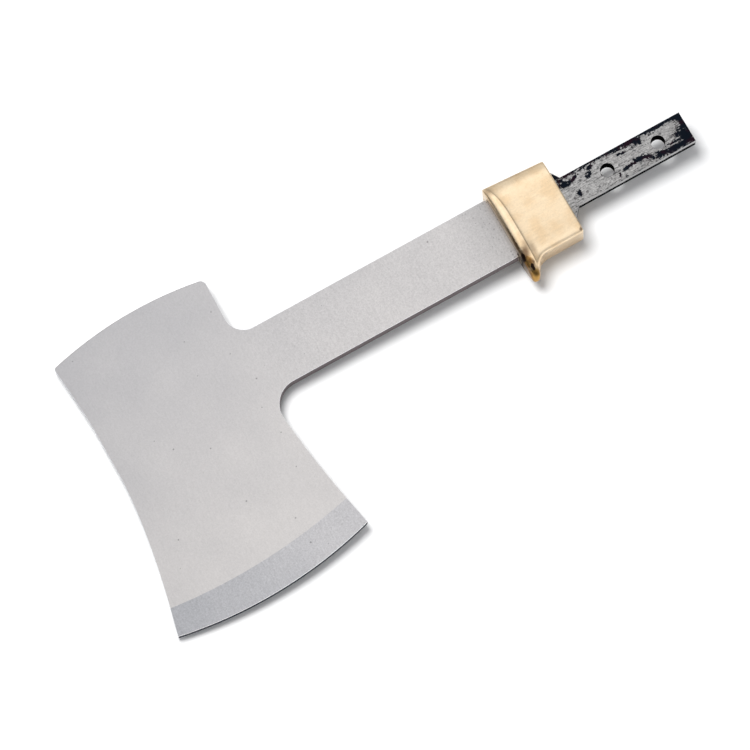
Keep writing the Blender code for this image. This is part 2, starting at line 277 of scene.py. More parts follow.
@dataclass
class Effects:
    """Surface effects that several finishes share, each a node group made once."""

    fine_marks: float = 3.7
    fine_share: float = 0.45
    pit_floor: float = 0.4
    cells_without_pit: float = 0.45

    def __post_init__(self) -> None:
        """Make every group."""
        self.marks = self.make_marks()
        self.grain = self.make_grain()
        self.tone = self.make_tone()
        self.spot = self.make_spot()
        self.cloud = self.make_cloud()

    def make_marks(self) -> Tree:
        """Fine lines left by a grinding belt, as a value about 0.5.

        Returns:
            The group.
        """
        tree, net, inside, out = new_group(
            "grinding_marks", {"Vector": Socket.VECTOR, "Length": 4.0, "Spacing": 0.2, "Turn": 0.0, "Seed": 0.0},
            {"Marks": Socket.VALUE})
        along, across = net.math("DIVIDE", 1.0, inside["Length"]), net.math("DIVIDE", 1.0, inside["Spacing"])
        stretch = net.out("ShaderNodeCombineXYZ", {0: along, 1: across, 2: across})
        placed = net.vector("MULTIPLY", net.turned(inside["Vector"], inside["Turn"]), stretch)
        moved = net.vector("ADD", placed, inside["Seed"])
        coarse, fine = net.noise(moved, 1.0, 2.0, 0.6)["Fac"], net.noise(moved, self.fine_marks, 2.0, 0.7)["Fac"]
        net.feed(out["Marks"], net.out("ShaderNodeMix", {0: self.fine_share, 2: coarse, 3: fine}, data_type="FLOAT"))
        return tree

    def make_grain(self) -> Tree:
        """The even speckle of a satin surface, as a value about 0.5, and the few pits in it, as a mask.

        Returns:
            The group.
        """
        tree, net, inside, out = new_group(
            "grain_and_pits", {"Vector": Socket.VECTOR, "Size": 0.3, "Pit Spacing": 14.0, "Pit Size": 0.25},
            {"Grain": Socket.VALUE, "Pits": Socket.VALUE})
        where, spacing = inside["Vector"], inside["Pit Spacing"]
        net.feed(out["Grain"], net.noise(where, net.math("DIVIDE", 1.0, inside["Size"]), 3.0, 0.65)["Fac"])
        cells = net.add("ShaderNodeTexVoronoi", {"Vector": where, "Scale": net.math("DIVIDE", 1.0, spacing)},
                        voronoi_dimensions="2D").outputs
        luck = net.add("ShaderNodeSeparateColor", {0: cells["Color"]}).outputs
        size = net.times(inside["Pit Size"], luck[0])
        pit = net.ramp(net.times(cells["Distance"], spacing), net.times(size, self.pit_floor), size, 1.0, 0.0)
        net.feed(out["Pits"], net.times(pit, net.math("GREATER_THAN", luck[1], self.cells_without_pit)))
        return tree

    def make_tone(self) -> Tree:
        """Slow change of tone over a surface, as a value about 0.5.

        Returns:
            The group.
        """
        tree, net, inside, out = new_group("slow_tone", {"Vector": Socket.VECTOR, "Size": 25.0}, {"Tone": Socket.VALUE})
        net.feed(out["Tone"], net.noise(inside["Vector"], net.math("DIVIDE", 1.0, inside["Size"]), 2.0, 0.5)["Fac"])
        return tree

    def make_spot(self) -> Tree:
        """One long spot, as a strength that is 1 in its middle, 0 at its rim and less outside it.

        Returns:
            The group.
        """
        tree, net, inside, out = new_group(
            "long_spot", {"Vector": Socket.VECTOR, "Centre": Socket.VECTOR, "Half Length": 4.0, "Half Width": 1.0,
                          "Turn": 0.0}, {"Strength": Socket.VALUE})
        parts = net.split(net.turned(net.vector("SUBTRACT", inside["Vector"], inside["Centre"]), inside["Turn"]))
        x = net.math("DIVIDE", parts[0], inside["Half Length"])
        y = net.math("DIVIDE", parts[1], inside["Half Width"])
        far = net.math("SQRT", net.total(net.times(x, x), net.times(y, y)))
        net.feed(out["Strength"], net.minus(1.0, far))
        return tree

    def make_cloud(self) -> Tree:
        """A colour of three unlike noises about 0.5.

        Returns:
            The group.
        """
        tree, net, inside, out = new_group("cloud", {"Vector": Socket.VECTOR, "Scale": 0.9}, {"Cloud": Socket.COLOUR})
        net.feed(out["Cloud"], net.noise(inside["Vector"], inside["Scale"], 4.0, 0.65)["Color"])
        return tree

    def strayed(self, net: Net, where: Wire, scale: float, reach: Colour) -> Wire:
        """The place on the blade, moved about by up to half of reach, which gives a spot a ragged rim."""
        shift = net.vector("SUBTRACT", net.use(self.cloud, where, scale=scale)["Cloud"], (0.5, 0.5, 0.5))
        return net.vector("ADD", where, net.vector("MULTIPLY", shift, reach))

    def spots(self, net: Net, where: Wire, spots: tuple[Blotch, ...]) -> Wire:
        """Place the spot group once for each spot.

        Args:
            net: the material's net.
            where: the place on the blade.
            spots: the spots.

        Returns:
            The strength of the strongest spot at each place.
        """
        strength = None
        for spot in spots:
            one = net.use(self.spot, where, centre=(spot.x, spot.y, 0.0), half_length=spot.half_length,
                          half_width=spot.half_width, turn=math.radians(-spot.turn))["Strength"]
            strength = one if strength is None else net.math("MAXIMUM", strength, one)
        return strength


# ------------------------------------------------------------------------------------------- finishes


def start_metal(name: str) -> tuple[Look, Net, bpy.types.NodeInputs, Wire]:
    """Start a metal's material.

    Args:
        name: the material's name.

    Returns:
        The material, a net on its tree, its shader's inputs and the socket with the blade's millimetres.
    """
    made = bpy.data.materials.new(name)
    made.use_nodes = True
    net = Net(made.node_tree)
    shader = made.node_tree.nodes["Principled BSDF"].inputs
    shader["Metallic"].default_value = 1.0
    where = net.add("ShaderNodeAttribute", attribute_name=COORDS, attribute_type="GEOMETRY").outputs["Vector"]
    return made, net, shader, where


def dress(net: Net, shader: bpy.types.NodeInputs, colour: Wire, roughness: Wire, height: Wire, depth: float) -> None:
    """Join a colour, a roughness and a relief to a shader.

    Args:
        net: the material's net.
        shader: the shader's inputs.
        colour: the base colour.
        roughness: the roughness.
        height: the relief's height as a share of its depth.
        depth: the relief's depth in millimetres.
    """
    net.feed(shader["Base Color"], colour)
    net.feed(shader["Roughness"], roughness)
    net.feed(shader["Normal"], net.out("ShaderNodeBump", {
        "Strength": 1.0, "Distance": depth / MM_IN_METRE, "Height": height}))


@dataclass(frozen=True)
class GroundSteel:
    """Steel ground with a belt: its colour, how its marks run, its pits, a painted shade towards the guard, and a
    painted shade that drifts its colour cooler and darker by place.
    """

    name: str
    colour: Colour
    roughness: float
    mark_turn: float
    mark_length: float = 3.5
    mark_spacing: float = 0.75
    mark_share: float = 0.24
    mark_roughness: float = 0.12
    depth: float = 0.02
    grain_size: float = 0.65
    grain_share: float = 0.34
    grain_height: float = 0.5
    contrast_span: Span = (-130.0, -90.0)
    contrast: Span = (0.9, 1.7)
    pit_spacing: float = 15.0
    pit_size: float = 0.55
    pit_share: float = 0.45
    tone_share: float = 0.05
    # A cooler, darker copy of the colour and how it drifts in by place: painted shade mixed with random tone.
    shaded_cool: Colour = (0.815, 0.83, 0.86)
    shade_drift_along: Span = (0.003, -0.010)
    shade_drift_range: Span = (-0.95, 0.25)
    shade_drift_tone: float = 0.7
    specked_length: float = 22.0
    speck_spacing: float = 1.7
    speck_size: float = 0.55
    speck_share: float = 0.35
    # Painted shade that darkens the face towards the guard: its strength and how fast it falls off.
    guard_shade: float = 0.0
    guard_shade_power: float = 1.5

    def material(self, effects: Effects) -> Look:
        """Make the finish as a material.

        Args:
            effects: the shared node groups.

        Returns:
            The material.
        """
        made, net, shader, where = start_metal(self.name)
        marks = net.use(effects.marks, where, length=self.mark_length, spacing=self.mark_spacing,
                        turn=self.mark_turn)["Marks"]
        grain = net.use(effects.grain, where, size=self.grain_size, pit_spacing=self.pit_spacing,
                        pit_size=self.pit_size)
        specks = net.use(effects.grain, where, pit_spacing=self.speck_spacing, pit_size=self.speck_size)["Pits"]
        tone = net.use(effects.tone, where)["Tone"]
        x, y, _ = net.split(where)
        near = net.ramp(x, -self.specked_length, 0.0, smooth=False)
        fine = net.total(net.swing(grain["Grain"], self.grain_share), net.swing(marks, self.mark_share))
        fine = net.times(fine, net.ramp(x, *self.contrast_span, *self.contrast))
        light = net.total(1.0, net.swing(tone, self.tone_share), fine)
        light = net.minus(light, net.times(grain["Pits"], self.pit_share))
        light = net.minus(light, net.times(specks, near, self.speck_share))
        # Painted shade: the steel darkens towards the guard.
        shade_near_guard = net.times(net.math("POWER", near, self.guard_shade_power), self.guard_shade)
        light = net.times(light, net.minus(1.0, shade_near_guard))
        # Painted shade mixed with random tone: by place, the colour drifts from its own towards the cooler, darker
        # copy; on the face towards the poll and the head's front.
        shade_drift = net.total(net.times(x, self.shade_drift_along[0]), net.times(y, self.shade_drift_along[1]),
                          net.swing(tone, self.shade_drift_tone))
        warm = net.ramp(shade_drift, *self.shade_drift_range, smooth=False)
        shaded_cool = tuple(own * share for own, share in zip(self.colour, self.shaded_cool))
        height = net.minus(net.total(marks, net.times(grain["Grain"], self.grain_height)), grain["Pits"])
        dress(net, shader, net.shaded(net.blend(warm, shaded_cool, self.colour), light),
              net.total(self.roughness, net.swing(marks, self.mark_roughness)), height, self.depth)
        return made


@dataclass(frozen=True)
class TangScale:
    """Scratched steel with dark heat scale left in ragged patches."""

    name: str = "tang_scale"
    colour: Colour = (0.43, 0.425, 0.42)
    scale_colour: Colour = (0.003, 0.005, 0.009)
    tint: Colour = (0.010, 0.004, 0.008)
    tint_size: float = 4.0
    tint_range: Span = (0.48, 0.62)
    roughness: Span = (0.42, 0.55)
    gloss: float = 0.04
    stray_scale: float = 0.42
    stray_reach: Colour = (5.0, 2.6, 0.0)
    ragged_streaks: float = 2.6
    ragged_grain: float = 1.8
    rim: Span = (-0.04, 0.20)
    line_range: Span = (0.55, 0.62)
    speck_share: float = 0.8
    line_share: float = 0.75
    light: float = -1.60
    scratch_share: float = 3.4
    grain_share: float = 1.6
    light_range: Span = (0.3, 1.5)
    scale_height: float = 0.4
    depth: float = 0.05
    blotches: tuple[Blotch, ...] = rows(
        (48.0, 7.8, 36.0, 2.2), (58.5, 7.1, 8.5, 2.0), (65.0, 6.2, 6.0, 2.3), (67.8, 4.6, 2.2, 1.6),
        (79.0, 7.2, 14.0, 2.2), (30.8, 8.0, 1.8, 3.6, -15), (31.0, 5.6, 1.9, 1.6), (32.4, 3.5, 4.4, 1.5),
        (37.0, 4.2, 3.0, 1.2, 25), (42.8, 2.3, 1.8, 1.4, 30), (45.0, 5.0, 3.4, 1.2, 50),
        (35.3, -3.0, 1.6, 1.5), (58.1, 3.7, 1.2, 0.7), (59.9, 3.5, 1.2, 0.7), (54.1, -4.5, 0.7, 1.3),
        (53.8, -6.9, 0.7, 0.7), (56.3, -6.4, 0.8, 0.7), (59.0, -3.1, 4.0, 0.9, 5), (64.5, -2.4, 4.2, 1.2, -4),
        (68.6, -3.3, 3.2, 1.2, -32), (75.0, -5.4, 6.6, 1.9), (82.5, -5.4, 6.8, 2.0), (81.5, -3.2, 4.2, 0.8),
        (87.2, -3.2, 4.4, 6.0, 15), (88.6, 2.5, 2.4, 6.5), (84.0, -0.8, 2.6, 1.0, 20), (86.8, 6.4, 4.0, 1.7),
    )

    def material(self, effects: Effects) -> Look:
        """Make the finish as a material.

        Args:
            effects: the shared node groups.

        Returns:
            The material.
        """
        made, net, shader, where = start_metal(self.name)
        streaks = net.use(effects.marks, where, length=3.5, spacing=0.7, seed=3.0)["Marks"]
        lines = net.use(effects.marks, where, length=7.0, spacing=0.9, seed=5.0)["Marks"]
        scratches = net.use(effects.marks, where, length=4.0, spacing=0.5, seed=9.0)["Marks"]
        specks = net.use(effects.grain, where, size=1.1, pit_spacing=3.0, pit_size=0.9)
        grain = net.use(effects.grain, where, size=0.7)["Grain"]
        tone = net.use(effects.tone, where, size=self.tint_size)["Tone"]
        strength = effects.spots(net, effects.strayed(net, where, self.stray_scale, self.stray_reach), self.blotches)
        ragged = net.total(net.swing(streaks, self.ragged_streaks), net.swing(specks["Grain"], self.ragged_grain))
        scale = net.ramp(net.total(strength, ragged), *self.rim)
        line = net.math("ADD", net.ramp(lines, *self.line_range), net.times(specks["Pits"], self.speck_share),
                        clamp=True)
        dark = net.math("MAXIMUM", scale, net.times(line, self.line_share))
        light = net.total(self.light, net.times(scratches, self.scratch_share), net.times(grain, self.grain_share))
        bare = net.shaded(self.colour, net.ramp(light, *self.light_range, *self.light_range, smooth=False))
        heated = net.blend(net.ramp(tone, *self.tint_range), self.scale_colour, self.tint)
        shader["Specular IOR Level"].default_value = self.gloss
        net.feed(shader["Metallic"], net.math("SUBTRACT", 1.0, dark, clamp=True))
        dress(net, shader, net.blend(dark, bare, heated), net.ramp(dark, 0.0, 1.0, *self.roughness, smooth=False),
              net.total(scratches, net.times(scale, self.scale_height)), self.depth)
        return made


@dataclass(frozen=True)
class DarkNarrowFace:
    """Near-black narrow faces without gloss, turning to bare steel above a height in millimetres, with flecks of bare
    steel below it.
    """

    name: str
    bare_above: float
    colour: Colour = (0.005, 0.005, 0.006)
    bare_colour: Colour = (0.46, 0.455, 0.455)
    roughness: Span = (0.60, 0.42)
    bare_ragged: float = 4.0
    bare_blur: float = 0.3
    mean_wear: float = 0.75
    wear_range: Span = (0.84, 0.98)
    wear_share: float = 0.2
    depth: float = 0.05

    def material(self, effects: Effects) -> Look:
        """Make the finish as a material.

        Args:
            effects: the shared node groups.

        Returns:
            The material.
        """
        made, net, shader, where = start_metal(self.name)
        marks = net.use(effects.marks, where, length=4.0, spacing=0.5, seed=21.0)["Marks"]
        grain = net.use(effects.grain, where, size=0.5)["Grain"]
        worn = net.total(marks, net.times(grain, 0.5))
        over = net.total(net.split(where)[2], net.times(net.minus(worn, self.mean_wear), self.bare_ragged))
        bare = net.ramp(over, self.bare_above - self.bare_blur, self.bare_above + self.bare_blur)
        uncovered = net.math("MAXIMUM", bare, net.times(net.ramp(worn, *self.wear_range), self.wear_share))
        shader["Specular IOR Level"].default_value = 0.0
        net.feed(shader["Metallic"], uncovered)
        dress(net, shader, net.blend(uncovered, self.colour, self.bare_colour),
              net.ramp(uncovered, 0.0, 1.0, *self.roughness, smooth=False),
              net.total(marks, net.times(grain, 0.6)), self.depth)
        return made


@dataclass(frozen=True)
class SatinBrass:
    """Brass rubbed to a soft satin, with painted reflections and painted shade laid on as brown, black and amber
    patches, and one small brown spot at the rear corner.
    """

    name: str = "satin_brass"
    colour: Colour = (0.86, 0.695, 0.482)
    warm_colour: Colour = (0.80, 0.61, 0.39)
    # Colours of the painted reflections and painted shade, and of the one brown spot.
    amber_reflection_colour: Colour = (0.40, 0.205, 0.025)
    black_reflection_colour: Colour = (0.022, 0.012, 0.008)
    brown_colour: Colour = (0.10, 0.045, 0.018)
    tone_size: float = 7.0
    tone_range: Span = (0.35, 0.65)
    roughness: float = 0.30
    mark_roughness: float = 0.15
    patch_roughness: float = 0.15
    light: float = 0.69
    mark_share: float = 0.36
    grain_share: float = 0.28
    pit_share: float = 0.2
    grain_height: float = 0.4
    depth: float = 0.02
    stray_scale: float = 0.9
    stray_reach: Colour = (1.2, 1.6, 0.0)
    # Amber patches at the lip's tip: a painted reflection.
    amber_reflection: tuple[Blotch, ...] = rows((1.9, -25.2, 3.4, 4.2), (1.6, -19.2, 2.6, 3.4))
    # Near-black patches on the lip's front and at the front beside it: painted reflections.
    black_reflection: tuple[Blotch, ...] = rows((2.3, -21.9, 0.9, 1.7), (0.7, -16.8, 1.0, 2.1))
    # Brown patches: painted reflections on the lip's front and the nose's front, and a painted shade line along the
    # spine side's edge; the spot at x 27.6 is a small brown spot at the rear corner on the lip's side.
    brown: tuple[Blotch, ...] = rows(
        (1.7, -16.6, 1.7, 3.6, 10), (0.4, -12.5, 0.8, 7.5), (2.2, -15.4, 2.6, 3.8), (2.4, -19.4, 1.6, 2.6),
        (3.3, -20.4, 0.9, 2.6), (0.2, -21.5, 1.0, 6.5), (0.7, -10.0, 0.5, 14.0), (27.6, -17.8, 1.0, 1.1),
        (14.0, 17.6, 26.0, 0.6, -3.3),
    )
    # Faint brown patches, all painted shade: along the front face, at the front corner on the spine's side, in a band
    # along the spine side's edge, and on the top towards the lip.
    faint: tuple[Blotch, ...] = rows(
        (1.6, 15.5, 3.2, 4.5), (0.3, 0.0, 0.9, 30.0), (14.0, 17.0, 30.0, 2.0, -3.3), (6.0, -15.5, 2.2, 6.0),
        (3.9, -13.5, 2.4, 4.0),
    )

    def material(self, effects: Effects) -> Look:
        """Make the finish as a material.

        Args:
            effects: the shared node groups.

        Returns:
            The material.
        """
        made, net, shader, where = start_metal(self.name)
        marks = net.use(effects.marks, where, length=8.0, spacing=1.1)["Marks"]
        grain = net.use(effects.grain, where, size=0.8, pit_spacing=7.0, pit_size=0.3)
        tone = net.use(effects.tone, where, size=self.tone_size)["Tone"]
        light = net.total(self.light, net.times(marks, self.mark_share), net.times(grain["Grain"], self.grain_share))
        light = net.minus(light, net.times(grain["Pits"], self.pit_share))
        colour = net.shaded(net.blend(net.ramp(tone, *self.tone_range), self.colour, self.warm_colour), light)
        strayed = effects.strayed(net, where, self.stray_scale, self.stray_reach)
        # Each layer of patches is laid over the brass in turn: painted shade, painted reflections and one brown spot.
        patch = None
        for spots, soft, share, paint in ((self.faint, 1.0, 0.45, self.brown_colour),
                                          (self.amber_reflection, 0.6, 0.85, self.amber_reflection_colour),
                                          (self.brown, 0.8, 0.8, self.brown_colour),
                                          (self.black_reflection, 0.3, 1.0, self.black_reflection_colour)):
            patch = net.times(net.ramp(effects.spots(net, strayed, spots), 0.0, soft), share)
            colour = net.blend(patch, colour, paint)
        dress(net, shader, colour,
              net.total(self.roughness, net.swing(marks, self.mark_roughness), net.times(patch, self.patch_roughness)),
              net.total(marks, net.times(grain["Grain"], self.grain_height)), self.depth)
        return made


# ------------------------------------------------------------------------------------------- outlines


def arc(start: Vector, end: Vector, bow: float, steps: int) -> list[Vector]:
    """Points from start to end on a circle that bulges by bow to the right of the way.

    Args:
        start: the first point.
        end: the last one.
        bow: the bulge's height.
        steps: how many straight pieces the arc has.

    Returns:
        The points.
    """
    chord = end - start
    half = chord.length / 2
    radius = (half * half + bow * bow) / (2 * bow)
    along = chord.normalized()
    out = Vector((along.y, -along.x))
    centre = (start + end) / 2 - out * (radius - bow)
    reach = math.asin(min(1.0, half / abs(radius)))
    angles = [reach * (2 * i / steps - 1) for i in range(steps + 1)]
    return [centre + along * (abs(radius) * math.sin(angle)) + out * (radius * math.cos(angle)) for angle in angles]


def shortened(points: list[Vector], distance: float) -> list[Vector]:
    """The polyline with the last stretch of this length taken off its end.

    Args:
        points: the polyline.
        distance: the stretch's length.

    Returns:
        The shorter polyline.
    """
    points = list(points)
    while len(points) > 2 and (points[-1] - points[-2]).length <= distance:
        distance -= (points[-1] - points[-2]).length
        points.pop()
    points[-1] = points[-1] - (points[-1] - points[-2]).normalized() * distance
    return points


def rounded_join(before: list[Vector], after: list[Vector], radius: float, steps: int) -> list[Vector]:
    """Join two polylines that share a corner by a round.

    Args:
        before: the way up to the corner.
        after: the way on from it.
        radius: the round's radius.
        steps: how many straight pieces the round has.

    Returns:
        The one polyline.
    """
    corner = before[-1]
    way_in, way_out = (corner - before[-2]).normalized(), (after[1] - corner).normalized()
    half_turn = math.acos(max(-1.0, min(1.0, way_in.dot(way_out)))) / 2
    reach = radius * math.tan(half_turn)
    before, after = shortened(before, reach), shortened(after[::-1], reach)[::-1]
    middle = []
    for i in range(1, steps):
        t = i / steps
        a, b, c = (1 - t) ** 2, 2 * t * (1 - t) * math.cos(half_turn), t * t
        middle.append((before[-1] * a + corner * b + after[0] * c) / (a + b + c))
    return before + middle + after


def inward_normals(points: list[Vector]) -> list[Vector]:
    """Each point's direction towards the inside of an outline that runs from the spine over the top.

    Args:
        points: the outline.

    Returns:
        The directions.
    """
    ways = [(after - before).normalized() for before, after in zip(points, points[2:])]
    return [Vector((-1, 0))] + [Vector((-way.y, way.x)) for way in ways] + [Vector((1, 0))]


def quarter(steps: int) -> list[float]:
    """Angles from 0 to a quarter turn."""
    return [QUARTER_TURN * i / steps for i in range(steps + 1)]


# --------------------------------------------------------------------------------------------- pieces


@dataclass(frozen=True)
class BladeFrame:
    """Where the blade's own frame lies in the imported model."""

    place: Matrix

    @classmethod
    def from_mounts(cls, mounts: list[dict], seat_at: float, seat_height: float) -> "BladeFrame":
        """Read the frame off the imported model's mounts.

        Args:
            mounts: the record's mounts.
            seat_at: how far along the blade the handle's seat lies.
            seat_height: how far above the plate's middle the seat's mount lies.

        Returns:
            The frame.
        """
        named = {mount["name"]: mount for mount in mounts}
        along = Vector(named["handle_seat"]["axis"]).normalized()
        up = Vector(named["upper_tang_face"]["axis"])
        up = (up - along * up.dot(along)).normalized()
        origin = Vector(named["handle_seat"]["pos_m"]) - along * seat_at - up * seat_height
        return cls(Matrix.Translation(origin) @ Matrix((along, up.cross(along), up)).transposed().to_4x4())

    def finish(self, piece: bpy.types.Object) -> None:
        """Keep the blade's millimetres on every vertex, then lay the mesh down in the model's frame.

        Args:
            piece: the object, drawn in the blade's frame.
        """
        coords = piece.data.attributes.new(COORDS, "FLOAT_VECTOR", "POINT")
        for vert, item in zip(piece.data.vertices, coords.data):
            item.vector = vert.co * MM_IN_METRE
        piece.data.transform(self.place)


def link(name: str, data: bpy.types.ID) -> bpy.types.Object:
    """A new object in the scene with this data.

    Args:
        name: what the object is called.
        data: its data.

    Returns:
        The object.
    """
    made = bpy.data.objects.new(name, data)
    bpy.context.scene.collection.objects.link(made)
    return made


def drawn_object(name: str, mesh: bmesh.types.BMesh, looks: list[Look]) -> bpy.types.Object:
    """A new object with this mesh and these materials.

    Args:
        name: what the object is called.
        mesh: its mesh, which is used up.
        looks: its materials.

    Returns:
        The object.
    """
    data = bpy.data.meshes.new(name)
    mesh.to_mesh(data)
    mesh.free()
    for look in looks:
        data.materials.append(look)
    return link(name, data)


def run_tree(piece: bpy.types.Object, tree: Tree, values: dict[str, object]) -> None:
    """Let a Geometry Nodes tree reshape a piece, and keep the result as its plain mesh.

    Args:
        piece: the object to change.
        tree: the tree.
        values: the tree's inputs by name.
    """
    modifier = piece.modifiers.new(tree.name, "NODES")
    modifier.node_group = tree
    for item in tree.interface.items_tree:
        if item.in_out == "INPUT" and item.name in values:
            modifier[item.identifier] = values[item.name]
    bpy.context.view_layer.update()
    depsgraph = bpy.context.evaluated_depsgraph_get()
    data = bpy.data.meshes.new_from_object(piece.evaluated_get(depsgraph), depsgraph=depsgraph)
    piece.modifiers.remove(modifier)
    piece.data = data
    data.name = piece.name


def crease(piece: bpy.types.Object, limit: float, between_finishes: bool) -> None:
    """Shade a piece smoothly, with creases where it turns by more than a limit.

    Args:
        piece: the object.
        limit: the limit in degrees.
        between_finishes: whether a change of finish is a crease as well.
    """
    mesh = bmesh.new()
    mesh.from_mesh(piece.data)
    for face in mesh.faces:
        face.smooth = True
    for edge in mesh.edges:
        finishes = {face.material_index for face in edge.link_faces}
        turned = edge.calc_face_angle(0.0) > math.radians(limit)
        edge.smooth = not (turned or between_finishes and len(finishes) > 1)
    mesh.to_mesh(piece.data)
    mesh.free()


@dataclass
class PinHoles:
    """The row of round holes through the tang, cut by one Geometry Nodes tree."""

    count: int = 2
    diameter: float = 0.0060
    from_end: float = 0.0142
    spacing: float = 0.0245
    sides: int = 96
    edge_break: float = 0.00012

    def tree(self) -> Tree:
        """Build the tree: bars along a line, with a cone at each face, taken out of the plate.

        Returns:
            The tree.
        """
        tree, net, inside, out = new_group("pin_holes", {
            "Plate": Socket.MESH, "Count": 1, "Radius": 0.003, "First": Socket.VECTOR, "Step": Socket.VECTOR,
            "Half Thickness": 0.003, "Edge Break": 0.0001, "Sides": 32, "Finish": Socket.MATERIAL,
        }, {"Plate": Socket.MESH}, kind="GeometryNodeTree")
        radius, sides, finish = inside["Radius"], inside["Sides"], inside["Finish"]
        places = net.out("GeometryNodeMeshLine", {
            "Count": inside["Count"], "Start Location": inside["First"], "Offset": inside["Step"]})
        bar = net.out("GeometryNodeMeshCylinder", {
            "Vertices": sides, "Radius": radius, "Depth": net.times(inside["Half Thickness"], 4.0)})
        twice = net.times(inside["Edge Break"], 2.0)
        cone = net.out("GeometryNodeMeshCone", {
            "Vertices": sides, "Radius Top": net.total(radius, twice), "Radius Bottom": radius, "Depth": twice})
        lift = net.out("ShaderNodeCombineXYZ", {2: net.minus(inside["Half Thickness"], inside["Edge Break"])})
        upper = net.out("GeometryNodeTransform", {"Geometry": cone, "Translation": lift})
        lower = net.out("GeometryNodeTransform", {"Geometry": upper, "Rotation": (math.pi, 0.0, 0.0)})
        cut = net.add("GeometryNodeMeshBoolean", {"Mesh 1": inside["Plate"]}, operation="DIFFERENCE", solver="EXACT")
        for shape in (bar, upper, lower):
            spread = net.out("GeometryNodeInstanceOnPoints", {"Points": places, "Instance": shape})
            real = net.out("GeometryNodeRealizeInstances", {0: spread})
            net.feed(cut.inputs["Mesh 2"], net.out("GeometryNodeSetMaterial", {"Geometry": real, "Material": finish}))
        net.feed(out["Plate"], net.out("GeometryNodeSetMaterial", {
            "Geometry": net.out("GeometryNodeRealizeInstances", {0: cut.outputs[0]}),
            "Selection": net.out("GeometryNodeMaterialSelection", {0: finish}), "Material": finish}))
        return tree

    def drill(self, piece: bpy.types.Object, tang_end: float, half_thickness: float, finish: Look) -> None:
        """Cut the holes.

        Args:
            piece: the plate.
            tang_end: where the tang ends along the blade.
            half_thickness: half the plate's thickness.
            finish: the bores' material.
        """
        run_tree(piece, self.tree(), {
            "Count": self.count, "Radius": self.diameter / 2, "First": (tang_end - self.from_end, 0.0, 0.0),
            "Step": (-self.spacing, 0.0, 0.0), "Half Thickness": half_thickness, "Edge Break": self.edge_break,
            "Sides": self.sides, "Finish": finish})


